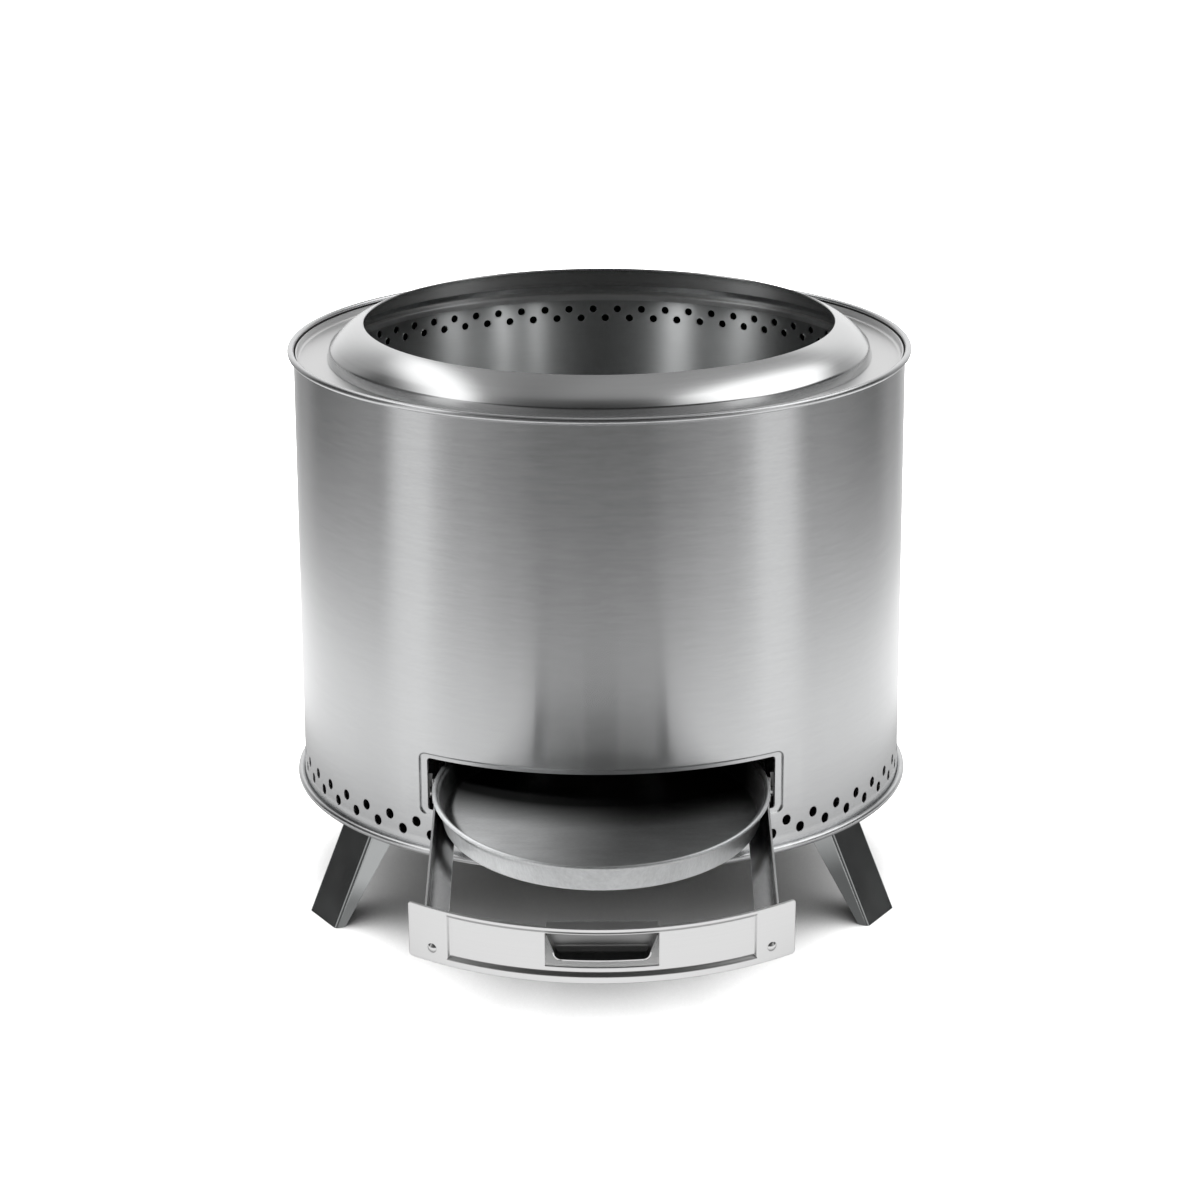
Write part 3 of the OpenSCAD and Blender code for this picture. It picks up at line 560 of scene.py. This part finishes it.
def build_front():
    """Curved front with its pressed panel; the cut-out for the fingers is left open."""
    # bottom, top and half length of the plate, the panel and the cut-out
    low, high, end = 120.2, 163.7, 137.3
    p_low, p_high, p_end = 125.0, 161.4, 110.3
    c_low, c_high, c_end = 131.4, 157.4, 40.0
    corner, press = 2.5, 3.4
    round_edge, round_cut = 0.3, 0.25
    xs = (steps(0, 35, 7) + [35, 38, c_end - 0.35, c_end, c_end + 0.3, c_end + 1.5] + steps(45, p_end - press, 12)
          + steps(p_end - press, p_end + 0.6, 10) + steps(p_end + 0.6, end - corner, 5)
          + steps(end - corner, end - 0.3, 6) + [end - 0.3, end - 0.08, end])
    xs = [-x for x in reversed(xs[1:])] + xs
    zs = ([low, low + 0.08, low + 0.3] + steps(low + 0.7, p_low - 0.6, 4) + steps(p_low - 0.6, p_low + press, 10)
          + [p_low + press, c_low - 0.3, c_low] + steps(c_low + 4, c_high, 5) + [c_high, c_high + 0.3]
          + steps(p_high - press, p_high + 0.5, 10) + [p_high + 0.5, high - 0.7, high - 0.3, high - 0.08, high])
    zs = sorted(set(round(z, 4) for z in zs))

    def reach(z):
        """Half length of the plate at a height, with its corners rounded."""
        d = max(0, corner - min(z - low, high - z))
        return end - corner + math.sqrt(max(0, corner * corner - d * d))

    def depth(x, z):
        """How far the panel is pressed in at a place, and how far the plate's edges are rounded off there."""
        inside = min(p_end - abs(x), z - p_low, p_high - z)
        edge = min(end - abs(x), z - low, high - z)
        cut = max(abs(x) - c_end, c_low - z, z - c_high)
        soft = round_edge * (1 - ease(edge / 0.3))
        soft += round_cut * (1 - ease(cut / 0.3)) if cut > -0.01 else round_cut
        return PANEL_DEPTH * ease(inside / press), soft

    points, back, grid = [], [], {}
    for i, x in enumerate(xs):
        for k, z in enumerate(zs):
            over = abs(x) - (end - corner)
            px = x if over <= 0 else math.copysign(end - corner + over * (reach(z) - end + corner) / corner, x)
            sunk, soft = depth(x, z)
            r = SHELL_R - sunk - soft
            y = -math.sqrt(r * r - px * px)
            grid[i, k] = len(points)
            points.append((px, y, z))
            thin = (SHELL_R - sunk - THICK_SHEET) / r
            back.append((px * thin, y * thin, z))
    n = len(points)
    points += back
    faces, count = [], {}
    for i in range(len(xs) - 1):
        for k in range(len(zs) - 1):
            x, z = (xs[i] + xs[i + 1]) / 2, (zs[k] + zs[k + 1]) / 2
            if abs(x) < c_end and c_low < z < c_high:
                continue
            quad = (grid[i, k], grid[i + 1, k], grid[i + 1, k + 1], grid[i, k + 1])
            faces += [quad, tuple(v + n for v in reversed(quad))]
            for j in range(4):
                side = frozenset((quad[j], quad[(j + 1) % 4]))
                count[side] = count.get(side, 0) + 1
    faces += [(a, b, b + n, a + n) for a, b in (tuple(side) for side, uses in count.items() if uses == 1)]
    piece("front_plate", points, faces, "front_steel", "drawer", "drawer_front", drawer_place())


def build_handle():
    """Scoop for the fingers, narrower towards its lip."""
    back, top, low = -222.9, 162.6, 135.4
    half, low_half, corner = 39.5, 34.9, 6.0
    taper_top, side_top, ahead = 153.4, 156.6, -250
    panel_top, behind_border, behind_panel = 161.3, 241.2, 238.6

    def width(z):
        if z >= low + corner:
            return low_half + (half - low_half) * min(1, (z - low - corner) / (taper_top - low - corner))
        return low_half - corner + math.sqrt(max(0, corner ** 2 - (low + corner - z) ** 2))

    outlines = [softened([(ahead, top - t, 0), (back - t, top - t, 8 - t), (back - t, low + t, 6 - t),
                          (ahead, low + t, 0)], False) for t in (0, SHEET)]
    columns = 24
    points, faces = [], []
    for path in outlines:
        for y, z in path:
            for j in range(columns + 1):
                x = width(z) * (2 * j / columns - 1)
                reach = behind_border if z > panel_top else behind_panel
                points.append((x, max(y, -math.sqrt(reach * reach - x * x)), z))
    row = columns + 1
    n = len(outlines[0])
    under = n * row
    for p in range(n - 1):
        for j in range(columns):
            a = p * row + j
            b = a + under
            faces += [(a, a + 1, a + row + 1, a + row), (b, b + row, b + row + 1, b + 1)]
        for j in (0, columns):
            a = p * row + j
            faces.append((a, a + row, a + row + under, a + under))
    for p in (0, n - 1):
        for j in range(columns):
            a = p * row + j
            faces.append((a, a + 1, a + 1 + under, a + under))
    # its sides turn up from the lip in a round corner and lean out to the ends of the cut-out
    side = [(low_half - corner + corner * math.sin(a), low + corner - corner * math.cos(a))
            for a in (math.pi / 16 * i for i in range(9))] + [(half, taper_top), (half, side_top)]
    for outline in (sheet_outline(side, -SHEET), sheet_outline([(-x, z) for x, z in side], SHEET)):
        base, m = len(points), len(outline)
        for x, z in outline:
            points += [(x, -math.sqrt(behind_panel ** 2 - x * x), z), (x, back - 0.6, z)]
        loop = [base + 2 * i for i in range(m)]
        faces += [(loop[i], loop[(i + 1) % m], loop[(i + 1) % m] + 1, loop[i] + 1) for i in range(m)]
        for i in range(len(side) - 1):
            opposite = m - 4 - i
            faces.append((loop[i], loop[i + 1], loop[opposite - 1], loop[opposite]))
    obj = piece("handle_scoop", points, faces, "front_steel", "drawer", "drawer_handle", drawer_place())
    # painted shade: the scoop's inner faces get a darker copy of the front steel, while the lip's front edge and the
    # top flange keep the plain one
    obj.data.materials.append(STEELS["scoop_shade_steel"])
    for face in obj.data.polygons:
        edge = face.normal.y < -0.8 and face.center.y < -236 * MM
        flange = face.normal.z > 0.8 and face.center.z > 160 * MM
        face.material_index = int(not edge and not flange)
    bevel = obj.modifiers.new("cut_edges", "BEVEL")
    bevel.width = 0.0003
    bevel.segments = 2
    bevel.limit_method = "ANGLE"
    bevel.angle_limit = math.radians(50)
    obj.modifiers.move(1, 0)


# Light by turn from in front of the pit (0) to behind it (1): low round it, on the floor about
# a metre out and on the floor further out; and overhead, from the left (0) to the right (1)
ROUND_LIGHT = [(0.0, 0.1), (0.1, 0.11), (0.2, 0.2), (0.29, 0.34), (0.345, 0.8), (0.39, 0.8), (0.455, 0.13),
               (0.66, 0.05), (0.76, 0.4), (0.9, 0.95), (1.0, 1.0)]
NEAR_FLOOR = [(0.0, 0.25), (0.09, 0.28), (0.15, 0.52), (0.23, 0.85), (0.3, 0.95), (0.345, 1.08), (0.39, 1.08),
              (0.455, 0.83), (0.62, 0.78), (1.0, 1.0)]
FAR_FLOOR = [(0.0, 0.09), (0.1, 0.1), (0.2, 0.15), (0.27, 0.22), (0.3, 0.35), (0.345, 0.74), (0.39, 0.74),
             (0.455, 0.2), (0.66, 0.12), (0.76, 0.3), (1.0, 1.0)]
OVERHEAD_LIGHT = [(0.0, 0.3), (0.105, 0.6), (0.165, 1.6), (0.22, 1.7), (0.24, 0.95), (0.27, 0.36), (0.36, 0.26),
                  (0.5, 0.35), (0.6, 0.38), (0.66, 0.5), (0.715, 1.7), (0.84, 2.0), (0.93, 1.7), (1.0, 0.8)]
FRONT_SKY = 0.02        # overhead, on the viewer's side
RISE = (0.5, 0.64)      # where the low light ends and the overhead light begins
LEFT_OF_FRONT = 0.044   # how far the low light and the floor's are turned to the left, in radians

# Softboxes that light the floor alone: place and power
SOFTBOXES = {"back_softbox": ((0, 1.2, 2.6), 180.0), "front_softbox": ((0, -1.9, 2.3), 115.0),
             "left_softbox": ((-2.3, -0.2, 1.1), 105.0), "right_softbox": ((2.3, -0.2, 1.1), 105.0)}
# Strips that light the fire chamber alone: place across and along, width and power
STRIPS = [(-0.595, -0.163, 0.14, 1.6), (-0.376, -0.447, 0.14, 2.4), (0.31, -0.49, 0.04, 1.2),
          (0.45, -0.384, 0.07, 1.7), (0.602, -0.145, 0.12, 1.4)]


def turn_from_front(tree, x, y):
    """0 towards the viewer and 1 behind the pit, the same on both sides."""
    angle = math_node(tree, "ARCTAN2", x, math_node(tree, "MULTIPLY", y, -1.0))
    angle = math_node(tree, "ADD", angle, LEFT_OF_FRONT)
    return math_node(tree, "DIVIDE", math_node(tree, "ABSOLUTE", angle), math.pi)


def studio():
    """A round sweep of softboxes and dark screens, and a pale floor."""
    scene = bpy.context.scene
    scene.view_settings.view_transform = "Standard"
    scene.view_settings.look = "None"
    world = bpy.data.worlds.new("studio")
    scene.world = world
    world.use_nodes = True
    tree = world.node_tree
    place = tree.nodes.new("ShaderNodeTexCoord")
    parts = tree.nodes.new("ShaderNodeSeparateXYZ")
    tree.links.new(place.outputs["Generated"], parts.inputs[0])
    x, y, z = parts.outputs
    low = ramp(tree, turn_from_front(tree, x, y), ROUND_LIGHT)
    across = math_node(tree, "SUBTRACT", x, math_node(tree, "MULTIPLY", y, 0.3))
    high = ramp(tree, mapped(tree, across, 0.0, 1.0, -1.0, 1.0), OVERHEAD_LIGHT)
    high = blend(tree, mapped(tree, y, 0.0, 1.0, -0.3, -0.08), FRONT_SKY, high)
    tilted = math_node(tree, "ADD", z, math_node(tree, "MULTIPLY", x, 0.1))
    light = blend(tree, mapped(tree, tilted, 0.0, 1.0, *RISE), low, high)
    seen = tree.nodes.new("ShaderNodeLightPath").outputs["Is Camera Ray"]
    light = blend(tree, seen, light, 1.0)
    tree.links.new(light, tree.nodes["Background"].inputs["Color"])
    ground = floor()
    for name, (stand, watts) in SOFTBOXES.items():
        lamp = soft_lamp(name, stand, 3.0, 3.0, watts, Vector((0, stand[1], stand[2])))
        light_only(lamp, ground)


def soft_lamp(name, stand, width, length, watts, back):
    """A flat lamp at a place, with its back turned the way that is given."""
    lamp = bpy.data.lights.new(name, "AREA")
    lamp.shape = "RECTANGLE"
    lamp.size, lamp.size_y = width, length
    lamp.energy = watts
    obj = bpy.data.objects.new(name, lamp)
    obj.location = stand
    obj.rotation_euler = back.to_track_quat("Z", "Y").to_euler()
    return obj


def light_only(lamp, piece):
    """Hides a lamp from the viewer and lets it light one piece alone."""
    group = bpy.data.collections.new(lamp.name + "_reach")
    group.objects.link(piece)
    lamp.light_linking.receiver_collection = group
    lamp.visible_camera = False
    bpy.context.scene.collection.objects.link(lamp)


def pan_light(pan):
    """A soft spot over the left of the ash pan."""
    lamp = bpy.data.lights.new("pan_spot", "SPOT")
    lamp.energy = 230.0
    lamp.spot_size = math.radians(10.2)
    lamp.spot_blend = 1.0
    lamp.shadow_soft_size = 0.06
    obj = bpy.data.objects.new("pan_spot", lamp)
    stand, aim = Vector((-0.45, -0.95, 0.75)), Vector((-0.121, -0.285, 0.127))
    obj.location = stand
    obj.rotation_euler = (stand - aim).to_track_quat("Z", "Y").to_euler()
    obj.visible_glossy = False
    light_only(obj, pan)


def chamber_light(chamber):
    """Narrow strips over the front rim, which draw upright streaks on the chamber's back wall."""
    for x, y, width, watts in STRIPS:
        lamp = soft_lamp("strip", (x, y, 0.85), width, 0.7, watts, Vector((x, y - 0.2, 0.45)))
        light_only(lamp, chamber)


def floor():
    """White where it is seen; in reflections bright near the pit and dim further out."""
    mesh = bpy.data.meshes.new("floor")
    half = 12.0
    mesh.from_pydata([(-half, -half, 0), (half, -half, 0), (half, half, 0), (-half, half, 0)], [], [(0, 1, 2, 3)])
    obj = bpy.data.objects.new("floor", mesh)
    bpy.context.scene.collection.objects.link(obj)
    mat = bpy.data.materials.new("pale_floor")
    mat.use_nodes = True
    tree = mat.node_tree
    link = tree.links.new
    skin = tree.nodes["Principled BSDF"]
    skin.inputs["Roughness"].default_value = 0.9
    skin.inputs["Specular IOR Level"].default_value = 0.0
    skin.inputs["Emission Color"].default_value = (1, 1, 1, 1)
    # painted contact shadow: ambient occlusion darkens the floor's colour under and beside the pit
    contact_shadow = tree.nodes.new("ShaderNodeAmbientOcclusion")
    contact_shadow.inputs["Distance"].default_value = 0.15
    contact_shadow.samples = 12
    link(math_node(tree, "MULTIPLY", contact_shadow.outputs["AO"], 0.9), skin.inputs["Base Color"])
    place = tree.nodes.new("ShaderNodeTexCoord")
    parts = tree.nodes.new("ShaderNodeSeparateXYZ")
    link(place.outputs["Object"], parts.inputs[0])
    x, y = parts.outputs[0], parts.outputs[1]
    away = distance(tree, x, y)
    # far out the floor glows, so that it is plain white up to the horizon
    link(mapped(tree, away, 0.0, 1.0, 0.9, 2.0), skin.inputs["Emission Strength"])
    glow = tree.nodes.new("ShaderNodeEmission")
    link(mirrored_floor(tree, x, y, away), glow.inputs["Color"])
    way = tree.nodes.new("ShaderNodeLightPath")
    pick = tree.nodes.new("ShaderNodeMixShader")
    link(way.outputs["Is Glossy Ray"], pick.inputs[0])
    link(skin.outputs[0], pick.inputs[1])
    link(glow.outputs[0], pick.inputs[2])
    link(pick.outputs[0], tree.nodes["Material Output"].inputs["Surface"])
    paint(obj, mat)
    return obj


def mirrored_floor(tree, x, y, away):
    """The floor's light in reflections: under the pit, in its shadow, in front of it and further out."""
    lit = 0.35
    for value, start, end, light in ((x, -0.155, -0.115, 0.8), (x, 0.0, 0.1, 0.2), (y, -0.1, 0.0, 0.1)):
        lit = blend(tree, mapped(tree, value, 0.0, 1.0, start, end), lit, light)
    turn = turn_from_front(tree, x, y)
    rings = [(0.26, 0.34, 0.5), (0.46, 0.56, 1.22), (0.85, 1.0, ramp(tree, turn, NEAR_FLOOR)),
             (0.9, 1.7, ramp(tree, turn, FAR_FLOOR))]
    for start, end, light in rings:
        lit = blend(tree, mapped(tree, away, 0.0, 1.0, start, end), lit, light)
    return lit


GRAIN = grain_group()
MOTTLE = cloud_group()
FINISHES = {
    "shell_steel": dict(colour=(0.62, 0.625, 0.63), rough=0.22, around=1.0, across=(220.0, 9.0, 1900.0), stretch=0.95,
                        tone=0.07, spread=0.02, bump=0.006, cloud=0.012),
    "deck_steel": dict(colour=(0.68, 0.68, 0.68), rough=0.33, around=1.0, across=(9.0, 3000.0, 9.0), stretch=0.6,
                       tone=0.04, spread=0.03, bump=0.008, cloud=0.02),
    "ring_steel": dict(colour=(0.695, 0.7, 0.702), rough=0.2, around=1.0, across=(9.0, 3000.0, 9.0), stretch=0.6,
                       tone=0.04, spread=0.03, bump=0.008, cloud=0.02),
    "chamber_steel": dict(colour=(0.488, 0.498, 0.5), rough=0.3, around=1.0, across=(60.0, 60.0, 600.0), stretch=0.95,
                          tone=0.03, spread=0.012, bump=0.001, cloud=0.015),
    "floor_steel": dict(colour=(0.25, 0.25, 0.25), rough=0.4),
    "base_steel": dict(colour=(0.2, 0.2, 0.2), rough=0.35),
    "runner_steel": dict(colour=(0.3, 0.3, 0.3), rough=0.35, edge=0.0003),
    "rail_steel": dict(colour=(0.66, 0.66, 0.66), rough=0.2, across=(300.0, 9.0, 300.0), tone=0.04, spread=0.015,
                       bump=0.001, cloud=0.02, edge=0.0003),
    "front_steel": dict(colour=(0.68, 0.68, 0.68), rough=0.34, around=1.0, across=(9.0, 9.0, 3000.0), tone=0.03,
                        spread=0.03, bump=0.006, cloud=0.015),
    # the pan's colour is painted dark where it lies inside the shell, as painted shade
    "pan_steel": dict(colour=(0.65, 0.66, 0.665), rough=0.38, metal=0.8, sunk=True, across=(250.0, 1400.0, 250.0),
                      tone=0.16, spread=0.05, bump=0.001, cloud=0.04, cloud_size=30.0),
    "leg_steel": dict(colour=(0.52, 0.535, 0.535), rough=0.14, across=(60.0, 60.0, 60.0), tone=0.03, spread=0.02,
                      bump=0.0, cloud=0.03, cloud_size=25.0, edge=0.0006),
    "rivet_steel": dict(colour=(0.62, 0.62, 0.62), rough=0.18, tone=0.03, bump=0.004, edge=0.0002),
}
STEELS = {name: steel(name, **values) for name, values in FINISHES.items()}
# near-black steel for faces in the air gap, as painted shade
STEELS["gap_shade_steel"] = steel("gap_shade_steel", (0.03, 0.03, 0.03), 0.6, tone=0.02, spread=0.03, bump=0.004)
# darker steel for the inside of the scoop, as painted shade
STEELS["scoop_shade_steel"] = steel("scoop_shade_steel", (0.22, 0.22, 0.22), 0.3, tone=0.04, spread=0.03, bump=0.006)

camera()
studio()
for part in frame["record"]["subparts"]:
    paint(nodes[part["node"]], STEELS[part["material_slot"]])
build_shell()
build_chamber()
build_deck()
build_flame_ring()
build_pan()
build_front()
build_handle()
